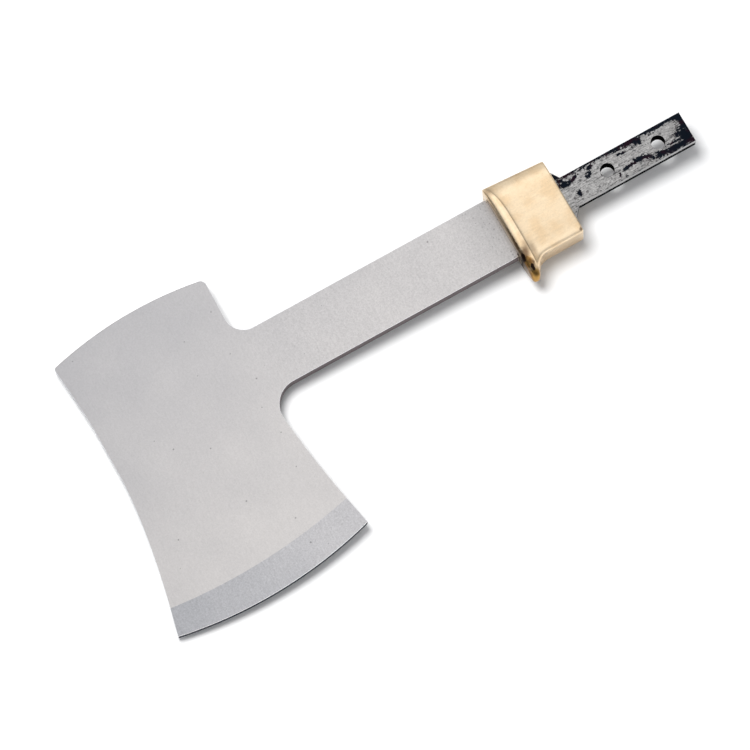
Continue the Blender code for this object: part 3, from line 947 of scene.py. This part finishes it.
@dataclass
class SteelBlank:
    """The head, neck and tang in one plate."""

    thickness: float = 0.0060
    edge_flat: float = 0.0030
    edge_bow: float = 0.0055
    bevel_at_heel: float = 0.0121
    bevel_at_toe: float = 0.0132
    bevel_bow: float = 0.0038

    poll_length: float = 0.0726
    poll_height_back: float = 0.0426
    poll_height_front: float = 0.0398
    poll_bow: float = 0.0041
    poll_back_lean: float = 0.0006
    poll_front_round: float = 0.0014
    poll_back_round: float = 0.0028
    cheek_swell: float = 0.0022
    cheek_depth: float = 0.0300
    cheek_power: float = 1.3
    heel_depth: float = 0.0857
    heel_flare: float = 0.0114
    heel_power: float = 1.6
    toe_depth: float = 0.0820
    toe_flare: float = 0.0099
    toe_side_bow: float = 0.0013
    upper_throat_radius: float = 0.0086
    lower_throat_radius: float = 0.0113

    neck_length: float = 0.1204
    neck_width: float = 0.0286
    seat_width: float = 0.0256
    seat_length: float = 0.0284
    tang_width: float = 0.0143
    tang_length: float = 0.0609
    upper_shoulder: float = 0.0035
    lower_shoulder: float = 0.0047
    shoulder_inside: float = 0.0003
    fit_gap: float = 0.0003

    arris: float = 0.00016
    bit_arris: float = 0.00024
    arris_angle: float = 30.0
    crease_angle: float = 24.0
    scaled_seat: float = 0.6
    # Painted light by facing: sides that face the head's front take the face's bright finish, a painted lit copy, and
    # arrises on the poll's side that lean towards the poll take the dark side finish, painted shade.
    lit_front_lean: float = -0.8
    shaded_poll_lean: float = 0.2
    arris_steps: int = 3
    edge_steps: int = 120
    side_steps: int = 60
    round_steps: int = 24
    holes: PinHoles = field(default_factory=PinHoles)

    @property
    def tang_end(self) -> float:
        """Where the tang ends along the blade."""
        return self.seat_length + self.tang_length

    def front_side(self) -> list[Vector]:
        """The head's front side from the poll's corner down to the heel: a straight waist, flared both ways.

        Returns:
            The side's points.
        """
        waist = -self.neck_length - self.poll_length + self.cheek_swell
        cheek_start = self.poll_height_front - self.cheek_depth
        heel_start = -self.neck_width / 2
        heel_run = self.heel_depth + heel_start
        falls = [i / self.side_steps for i in range(self.side_steps + 1)]
        cheek = [Vector((waist - self.cheek_swell * (1 - fall) ** self.cheek_power,
                         cheek_start + self.cheek_depth * (1 - fall))) for fall in falls]
        return cheek + [Vector((waist - self.heel_flare * fall ** self.heel_power, heel_start - heel_run * fall))
                        for fall in falls]

    def outline(self) -> tuple[list[Vector], Vector, Vector]:
        """The flat face's outline without the bevel.

        Returns:
            The outline, from the bevel's line on the toe side round by the tang and the poll to that line on the
            heel side, and the edge's ends at the heel and at the toe.
        """
        back, seat_end = -self.neck_length, self.seat_length - self.shoulder_inside
        neck, seat, tang = self.neck_width / 2, self.seat_width / 2, self.tang_width / 2
        front = self.front_side()
        heel, toe = front[-1], Vector((back + self.toe_flare, -self.toe_depth))
        poll_front, poll_back = front[0], Vector((back + self.poll_back_lean, self.poll_height_back))
        lower_throat, upper_throat = Vector((back, -neck)), Vector((back, neck))
        toe_side = shortened(arc(lower_throat, toe, self.toe_side_bow, self.side_steps), self.bevel_at_toe)
        tang_side = [Vector(corner) for corner in (
            (-self.fit_gap, -seat), (seat_end, -seat), (seat_end + self.lower_shoulder, -tang), (self.tang_end, -tang),
            (self.tang_end, tang), (seat_end + self.upper_shoulder, tang), (seat_end, seat), (-self.fit_gap, seat))]
        lower, upper = [lower_throat, Vector((-self.fit_gap, -neck))], [Vector((-self.fit_gap, neck)), upper_throat]
        low = rounded_join(toe_side[::-1], lower, self.lower_throat_radius, self.round_steps)
        for way, radius in (([upper_throat, poll_back], self.upper_throat_radius),
                            (arc(poll_back, poll_front, self.poll_bow, self.side_steps), self.poll_back_round),
                            (shortened(front, self.bevel_at_heel), self.poll_front_round)):
            upper = rounded_join(upper, way, radius, self.round_steps)
        return low + tang_side + upper, heel, toe

    def plate(self) -> bmesh.types.BMesh:
        """The closed plate with its bevels, every face marked with its region, and its arrises eased.

        Returns:
            The mesh in the blade's frame.
        """
        outline, heel, toe = self.outline()
        loop = arc(outline[-1], outline[0], self.bevel_bow, self.edge_steps) + outline[1:-1]
        edge = arc(heel, toe, self.edge_bow, self.edge_steps)
        half, thin, last = self.thickness / 2, self.edge_flat / 2, self.edge_steps
        mesh = bmesh.new()
        top, bottom, edge_top, edge_bottom = [
            [mesh.verts.new((point.x, point.y, z)) for point in points]
            for points, z in ((loop, half), (loop, -half), (edge, thin), (edge, -thin))]

        def face(region: Region, verts: list) -> None:
            """Add one face of a region."""
            mesh.faces.new(verts).material_index = region.value

        face(Region.FACE, top)
        face(Region.FACE, bottom[::-1])
        for i in range(last):
            face(Region.BEVEL, [edge_top[i], edge_top[i + 1], top[i + 1], top[i]])
            face(Region.EDGE, [edge_bottom[i], edge_bottom[i + 1], edge_top[i + 1], edge_top[i]])
            face(Region.BEVEL, [bottom[i], bottom[i + 1], edge_bottom[i + 1], edge_bottom[i]])
        for i in range(last, len(loop)):
            j = (i + 1) % len(loop)
            face(Region.SIDE, [bottom[i], bottom[j], top[j], top[i]])
        face(Region.SIDE, [bottom[last], top[last], edge_top[-1], edge_bottom[-1]])
        face(Region.SIDE, [top[0], bottom[0], edge_bottom[0], edge_top[0]])
        bmesh.ops.remove_doubles(mesh, verts=mesh.verts, dist=SAME_PLACE)
        bmesh.ops.recalc_face_normals(mesh, faces=mesh.faces[:])
        tang_starts = self.seat_length * self.scaled_seat
        bmesh.ops.bisect_plane(mesh, geom=mesh.verts[:] + mesh.edges[:] + mesh.faces[:],
                               plane_co=(tang_starts, 0, 0), plane_no=(1, 0, 0), dist=SAME_PLACE)
        for one in mesh.faces:
            if one.calc_center_median().x > tang_starts:
                flat = one.material_index == Region.FACE.value
                one.material_index = (Region.TANG if flat else Region.TANG_SIDE).value
            # A side that faces the head's front takes the bright face finish: a painted lit copy of the side.
            elif one.material_index == Region.SIDE.value and one.normal.x < self.lit_front_lean:
                one.material_index = Region.FACE.value
        on_bit = self.eased(mesh, self.bit_arris, {Region.BEVEL.value, Region.EDGE.value})
        self.eased(mesh, self.arris)
        for one in mesh.faces:
            if one.material_index == Region.ARRIS.value:
                middle = one.calc_center_median()
                if middle.x > tang_starts:
                    one.material_index = Region.TANG.value
                # An arris on the poll's side that leans towards the poll takes the dark side finish: painted shade.
                elif middle.y > self.neck_width and one.normal.y > self.shaded_poll_lean:
                    one.material_index = Region.SIDE.value
                # The bit's lower arrises take the edge flat's near-black finish.
                elif one in on_bit and middle.z < 0:
                    one.material_index = Region.EDGE.value
        return mesh

    def eased(self, mesh: bmesh.types.BMesh, width: float, between: set[int] | None = None) -> set:
        """Break the plate's sharp corners.

        Args:
            mesh: the plate.
            width: how far the break reaches on each side.
            between: the two regions that a corner has to lie between, or none for every corner.

        Returns:
            The new faces.
        """
        sharp = [e for e in mesh.edges if e.calc_face_angle(0.0) > math.radians(self.arris_angle)
                 and between in (None, {f.material_index for f in e.link_faces})]
        return set(bmesh.ops.bevel(
            mesh, geom=sharp, offset=width, offset_type="OFFSET", segments=self.arris_steps, profile=0.5,
            affect="EDGES", material=Region.ARRIS.value, clamp_overlap=True)["faces"])

    def build(self, place: BladeFrame, looks: dict[Region, Look]) -> bpy.types.Object:
        """Make the piece.

        Args:
            place: where the blade's frame lies.
            looks: the finish of each region.

        Returns:
            The piece, in place and dressed.
        """
        piece = drawn_object("blank_steel", self.plate(), [looks[region] for region in Region])
        self.holes.drill(piece, self.tang_end, self.thickness / 2, looks[Region.BORE])
        crease(piece, self.crease_angle, between_finishes=True)
        place.finish(piece)
        return piece


@dataclass
class BrassGuard:
    """The collar round the neck's end, with its lip below the edge side."""

    length: float = 0.0284
    slot_width: float = 0.0262
    slot_height: float = 0.0066
    spine_wall: Span = (0.0045, 0.0029)
    belly_wall: Span = (0.006, 0.00595)
    flat_wall: Span = (0.0047, 0.0043)
    seat_mount_height: float = 0.0056
    rim_rise: float = 0.0005
    corner_at_spine: float = 0.0012
    corner_at_belly: float = 0.002
    crown: float = 0.0014
    nose_at_spine: float = 0.0005
    nose_at_top: float = 0.0045
    nose_at_tip: float = 0.0016
    nose_drop: float = 0.0030
    sweep_length: float = 0.0070
    sweep_knee: float = 0.0031
    rear_edge_break: float = 0.0006
    lip_root: float = 0.0083
    lip_reach: float = 0.0077
    lip_back_round: float = 0.0034
    crown_power: float = 5.0
    rise_power: float = 4.5
    tip_power: int = 4
    crease_angle: float = 11.0

    corner_steps: int = 14
    top_steps: int = 48
    wall_steps: int = 14
    nose_steps: int = 18
    sweep_steps: int = 24
    body_steps: int = 14
    rear_steps: int = 5

    def body_outline(self, x: float) -> list[Vector]:
        """The guard's outline above the plate's middle at x, from the poll's side round to the edge's, as (y, z).

        Args:
            x: how far along the guard.

        Returns:
            The outline.
        """
        spine, belly, height = [
            slot / 2 + front + (rear - front) * (x / self.length) for slot, (front, rear) in (
                (self.slot_width, self.spine_wall), (self.slot_width, self.belly_wall),
                (self.slot_height, self.flat_wall))]
        lean = math.atan2(2 * self.crown_power * self.crown,
                          spine + belly - self.corner_at_spine - self.corner_at_belly)
        turns = [(QUARTER_TURN - lean) * i / self.corner_steps for i in range(self.corner_steps + 1)]
        centre = Vector((spine - self.corner_at_spine, height - self.corner_at_spine))
        points = [Vector((spine, 0))]
        points += [centre + self.corner_at_spine * Vector((math.cos(turn), math.sin(turn))) for turn in turns]
        centre = Vector((self.corner_at_belly - belly, height - self.corner_at_belly))
        corner = [centre + self.corner_at_belly * Vector((-math.sin(lean + turn), math.cos(lean + turn)))
                  for turn in turns]
        top_start = points[-1]
        for i in range(1, self.top_steps):
            share = i / self.top_steps
            crown = self.crown * (1 - abs(2 * share - 1) ** self.crown_power)
            points.append(top_start.lerp(corner[0], share) + Vector((0, crown)))
        points += corner
        return points + [Vector((-belly, corner[-1].y * (1 - i / self.wall_steps)))
                         for i in range(1, self.wall_steps + 1)]

    def rim_outline(self, body: list[Vector]) -> tuple[list[Vector], list[Span]]:
        """The widest outline, with the rim's rise and the lip.

        Args:
            body: the body's outline at the front.

        Returns:
            The rim's points, and each one's place: its share of the way from the poll's side wall to the lip's
            root, and from there to the tip.
        """
        lengths = [0.0]
        for before, after in zip(body, body[1:]):
            lengths.append(lengths[-1] + (after - before).length)
        root = next(i for i, p in enumerate(body) if p.x < -self.lip_root)
        length_at_root = lengths[root] - (-body[root].x - self.lip_root)
        tip = -body[-1].x + self.lip_reach
        past = (body[root - 1].x + self.lip_root) / (body[root - 1].x - body[root].x)
        raised = 1 + self.rim_rise / (self.slot_height / 2 + self.flat_wall[0])
        height = body[root - 1].lerp(body[root], past).y * raised
        points, places = [], []
        for i, point in enumerate(body):
            if i < root:
                rise = max(0.0, lengths[i] - lengths[1]) / (length_at_root - lengths[1])
                share = 1 - (1 - rise) ** self.rise_power
                points.append(Vector((point.x, point.y * (1 + share * (raised - 1)))))
                places.append((share, 0.0))
            else:
                out = (lengths[i] - length_at_root) / (lengths[-1] - length_at_root)
                reach = (tip - self.lip_root) * math.sin(QUARTER_TURN * out)
                points.append(Vector((-self.lip_root - reach, height * math.cos(QUARTER_TURN * out))))
                places.append((1.0, out))
        return points, places

    def rings(self) -> list[list[Vector]]:
        """The guard's rings from the front face to the rear one, each above the plate's middle.

        Returns:
            The rings, each from the poll's side to the edge's.
        """
        rim, places = self.rim_outline(self.body_outline(0.0))
        tips = [out ** self.tip_power for _, out in places]
        noses, drops = [
            [self.nose_at_spine + (top - self.nose_at_spine) * share + (self.nose_at_tip - top) * tip
             for (share, _), tip in zip(places, tips)] for top in (self.nose_at_top, self.nose_drop)]
        rings = [[Vector((nose * (1 - math.cos(angle)), *(point + inner * drop * (1 - math.sin(angle)))))
                  for point, inner, nose, drop in zip(rim, inward_normals(rim), noses, drops)]
                 for angle in quarter(self.nose_steps)]
        for k in range(1, self.sweep_steps + 1):
            t = k / self.sweep_steps
            ring = []
            for i, (point, (_, out), nose, tip) in enumerate(zip(rim, places, noses, tips)):
                back = self.lip_back_round * tip
                x = (nose + 3 * t * (1 - t) ** 2 * back + 3 * t * t * (1 - t) * self.sweep_knee
                     + t ** 3 * self.sweep_length)
                kept = (1 - t) ** 2 * (1 + 2 * t * out ** 2)
                ring.append(Vector((x, *self.body_outline(x)[i].lerp(point, kept))))
            rings.append(ring)
        swept = [point.x for point in rings[-1]]
        for k in range(1, self.body_steps + 1):
            stations = [start + (self.length - self.rear_edge_break - start) * k / self.body_steps for start in swept]
            rings.append([Vector((x, *self.body_outline(x)[i])) for i, x in enumerate(stations)])
        rear = self.body_outline(self.length)
        for angle in quarter(self.rear_steps)[1:]:
            x = self.length - self.rear_edge_break * (1 - math.sin(angle))
            rings.append([Vector((x, *(point + inner * self.rear_edge_break * (1 - math.cos(angle)))))
                          for point, inner in zip(rear, inward_normals(rear))])
        return rings

    def shell(self) -> bmesh.types.BMesh:
        """The guard without its slot: the rings mirrored below the middle, joined and closed at both ends.

        Returns:
            The mesh in the blade's frame.
        """
        mesh = bmesh.new()
        rings = []
        for half in self.rings():
            below = [Vector((p.x, p.y, -p.z)) for p in half[-2:0:-1]]
            rings.append([mesh.verts.new(p) for p in half + below])
        count = len(rings[0])
        for front, rear in zip(rings, rings[1:]):
            for i in range(count):
                j = (i + 1) % count
                mesh.faces.new((front[i], rear[i], rear[j], front[j]))
        mesh.faces.new(rings[0])
        mesh.faces.new(rings[-1][::-1])
        bmesh.ops.recalc_face_normals(mesh, faces=mesh.faces[:])
        return mesh

    def slot_tree(self) -> Tree:
        """Build the tree that takes a bar of the slot's section out of the guard.

        Returns:
            The tree.
        """
        tree, net, inside, out = new_group("guard_slot", {
            "Guard": Socket.MESH, "Length": 0.03, "Width": 0.02, "Height": 0.006, "Finish": Socket.MATERIAL,
        }, {"Guard": Socket.MESH}, kind="GeometryNodeTree")
        size = net.out("ShaderNodeCombineXYZ", {
            0: net.times(inside["Length"], 2.0), 1: inside["Width"], 2: inside["Height"]})
        middle = net.out("ShaderNodeCombineXYZ", {0: net.times(inside["Length"], 0.5)})
        bar = net.out("GeometryNodeTransform", {
            "Geometry": net.out("GeometryNodeMeshCube", {"Size": size}), "Translation": middle})
        cut = net.out("GeometryNodeMeshBoolean", {"Mesh 1": inside["Guard"], "Mesh 2": bar}, operation="DIFFERENCE",
                      solver="EXACT")
        real = net.out("GeometryNodeRealizeInstances", {0: cut})
        net.feed(out["Guard"], net.out("GeometryNodeSetMaterial", {"Geometry": real, "Material": inside["Finish"]}))
        return tree

    def build(self, place: BladeFrame, look: Look) -> bpy.types.Object:
        """Make the piece.

        Args:
            place: where the blade's frame lies.
            look: the guard's finish.

        Returns:
            The piece, in place and dressed.
        """
        piece = drawn_object("guard_brass", self.shell(), [look])
        run_tree(piece, self.slot_tree(), {
            "Length": self.length, "Width": self.slot_width, "Height": self.slot_height, "Finish": look})
        crease(piece, self.crease_angle, between_finishes=False)
        place.finish(piece)
        return piece


# --------------------------------------------------------------------------------------------- studio


class Reach(Enum):
    """What a light is for."""

    FLOOR = "lights the floor"
    GLOSS = "shows in polished metal"


@dataclass(frozen=True)
class Lamp:
    """A soft light: its place, the point that it faces, its size and strength."""

    name: str
    place: Colour
    aim: Colour
    size: Span
    strength: float
    reach: Reach


@dataclass
class Studio:
    """Floor, light and camera."""

    azimuth: float = -26.64345
    elevation: float = 74.73213
    roll: float = -2.57163
    distance: float = 2.09402
    aim: Span = (-0.019941, -0.004573)
    focal_pixels: float = 5000.0
    frame_pixels: float = 750.0
    sensor_mm: float = 36.0
    clip: Span = (0.05, 50.0)

    floor_size: float = 6.0
    floor_colour: float = 0.90
    floor_roughness: float = 0.8
    sky_on_floor: float = 0.48
    sky_low: float = 0.8
    sky_high: float = 0.45
    sky_front: float = 1.2
    sky_rear: float = 0.9
    sky_beside: float = 0.84
    zenith_squeeze: float = 0.28
    rear_span: Span = (-0.5, 0.5)
    low_span: Span = (0.0, 0.2)
    beside_span: Span = (0.2, 0.8)
    zenith_span: Span = (0.72, 0.92)
    sky_colour: Colour = (0.97, 0.98, 1.0)
    card_colour: Colour = (1.0, 0.975, 0.96)
    shade_towards: Span = (-0.87, -0.50)
    shade_across: Span = (0.35, 0.65)
    shade_height: Span = (0.60, 0.42)
    shade_left: float = 0.04
    dim_across: Span = (0.15, 0.75)
    dim_height: Span = (0.15, 0.35)
    dim_left: float = 0.45
    background: float = 0.95
    lamps: tuple[Lamp, ...] = (
        Lamp("key", (-0.17, 0.35, 1.14), (0.0, 0.0, 0.0), (0.60, 0.60), 14.0, Reach.FLOOR),
        Lamp("overhead_card", (0.03, 0.04, 0.45), (0.03, 0.04, 0.0), (0.50, 0.60), 0.645, Reach.GLOSS),
    )

    def camera(self) -> None:
        """Make the scene's camera at the photograph's viewing angle."""
        az, el, roll = math.radians(self.azimuth), math.radians(self.elevation), math.radians(self.roll)
        back = Vector((math.sin(az) * math.cos(el), -math.cos(az) * math.cos(el), math.sin(el)))
        right = Vector((math.cos(az), math.sin(az), 0.0))
        up = back.cross(right)
        right, up = right * math.cos(roll) + up * math.sin(roll), up * math.cos(roll) - right * math.sin(roll)
        data = bpy.data.cameras.new("camera")
        data.sensor_width = self.sensor_mm
        data.lens = self.focal_pixels / self.frame_pixels * self.sensor_mm
        data.clip_start, data.clip_end = self.clip
        made = link("camera", data)
        turn = Matrix((right, up, back)).transposed().to_4x4()
        made.matrix_world = Matrix.Translation(Vector((*self.aim, 0.0)) + back * self.distance) @ turn
        bpy.context.scene.camera = made

    def floor(self) -> None:
        """Make the plain pale floor."""
        mesh = bmesh.new()
        bmesh.ops.create_grid(mesh, x_segments=1, y_segments=1, size=self.floor_size)
        look = bpy.data.materials.new("floor")
        look.use_nodes = True
        shader = look.node_tree.nodes["Principled BSDF"].inputs
        shader["Base Color"].default_value = (*[self.floor_colour] * 3, 1.0)
        shader["Roughness"].default_value = self.floor_roughness
        shader["Specular IOR Level"].default_value = 0.0
        drawn_object("floor", mesh, [look])

    def light(self, lamp: Lamp) -> None:
        """Make one soft light, a disk for the floor and a card for the gloss.

        Args:
            lamp: what it is like.
        """
        on_floor = lamp.reach is Reach.FLOOR
        data = bpy.data.lights.new(lamp.name, "AREA")
        data.shape = "DISK" if on_floor else "RECTANGLE"
        data.size, data.size_y = lamp.size
        area = lamp.size[0] * lamp.size[1]
        data.energy = lamp.strength if on_floor else lamp.strength * math.pi * area
        if not on_floor:
            data.color = self.card_colour
        made = link(lamp.name, data)
        made.location = lamp.place
        made.rotation_mode = "QUATERNION"
        made.rotation_quaternion = (Vector(lamp.place) - Vector(lamp.aim)).to_track_quat("Z", "Y")
        made.visible_glossy, made.visible_diffuse, made.visible_camera = not on_floor, on_floor, False

    def sky(self) -> None:
        """Make the soft dome of light, dim near the horizon, with one strength for the floor and one for the view."""
        world = bpy.data.worlds.new("studio")
        world.use_nodes = True
        bpy.context.scene.world = world
        net = Net(world.node_tree)
        x, y, z = net.split(net.add("ShaderNodeTexCoord").outputs["Generated"])
        beside = net.math("ABSOLUTE", y)
        around = net.times(net.ramp(x, *self.rear_span, self.sky_front, self.sky_rear),
                           net.times(net.ramp(z, *self.low_span, self.sky_low, 1.0),
                                     net.ramp(beside, *self.beside_span, 1.0, self.sky_beside)))
        lean = net.minus(z, net.times(beside, self.zenith_squeeze))
        glow = net.ramp(lean, *self.zenith_span, around, self.sky_high)
        along = net.total(net.times(x, self.shade_towards[0]), net.times(y, self.shade_towards[1]))
        shade = net.times(net.ramp(along, *self.shade_across), net.ramp(z, *self.shade_height))
        dim = net.times(net.ramp(x, *self.dim_across), net.ramp(z, *self.dim_height))
        for mask, left in ((shade, self.shade_left), (dim, self.dim_left)):
            glow = net.times(glow, net.ramp(mask, 0.0, 1.0, 1.0, left, smooth=False))
        path = net.add("ShaderNodeLightPath").outputs
        seen = net.ramp(path["Is Camera Ray"], 0.0, 1.0, glow, self.background, smooth=False)
        back = world.node_tree.nodes["Background"].inputs
        back["Color"].default_value = (*self.sky_colour, 1.0)
        net.feed(back["Strength"], net.ramp(path["Is Diffuse Ray"], 0.0, 1.0, seen, self.sky_on_floor, smooth=False))

    def build(self) -> None:
        """Make the whole studio."""
        self.camera()
        self.floor()
        for lamp in self.lamps:
            self.light(lamp)
        self.sky()
        bpy.context.scene.view_settings.view_transform = "Standard"


def main() -> None:
    """Build both pieces and the studio."""
    logging.basicConfig(level=logging.INFO, format="%(name)s: %(message)s")
    effects = Effects()
    finishes = {
        # The face's steel darkens towards the guard: painted shade.
        Region.FACE: GroundSteel("ground_steel", (0.618, 0.600, 0.591), 0.42, QUARTER_TURN, guard_shade=0.26),
        # The bevel's colour drifts cooler and darker towards the heel: painted shade mixed with random tone.
        Region.BEVEL: GroundSteel("ground_bevel", (0.565, 0.56, 0.573), 0.42, QUARTER_TURN, shaded_cool=(0.82, 0.84, 0.86),
                                   shade_drift_along=(0.012, 0.0), shade_drift_range=(-2.42, -1.45), contrast=(2.0, 2.0)),
        # The narrow sides are painted dark brown: painted shade for the shadowed floor that they mirror.
        Region.SIDE: GroundSteel("side_painted_shade", (0.135, 0.105, 0.110), 0.45, 0.0),
        # The eased arrises are painted far brighter than the face's steel: a painted highlight along the edges.
        Region.ARRIS: GroundSteel("arris_painted_highlight", (0.95, 0.95, 0.95), 0.28, 0.0),
        Region.TANG: TangScale(),
        # The tang's sides are near black below a height and bare above it; the bores and the bit's edge flat are near
        # black all over, the edge flat with a navy tint.
        Region.TANG_SIDE: DarkNarrowFace("dark_tang_side", 0.2),
        Region.BORE: DarkNarrowFace("dark_bore", 9.0),
        Region.EDGE: DarkNarrowFace("dark_edge_flat", 9.0, (0.010, 0.013, 0.028)),
    }
    looks = {region: finish.material(effects) for region, finish in finishes.items()}
    blank, guard = SteelBlank(), BrassGuard()
    place = BladeFrame.from_mounts(frame["record"]["mounts"], guard.length, guard.seat_mount_height)
    steel = blank.build(place, looks)
    brass = guard.build(place, SatinBrass().material(effects))
    for piece, node, slot in ((steel, "steel_blank", "ground_steel"), (brass, "brass_guard", "satin_brass")):
        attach(piece, "root")
        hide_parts(node)
        LOG.info("%s: %d faces in the place of %s", piece.name, len(piece.data.polygons), node)
    Studio().build()


if __name__ == "__main__":
    main()
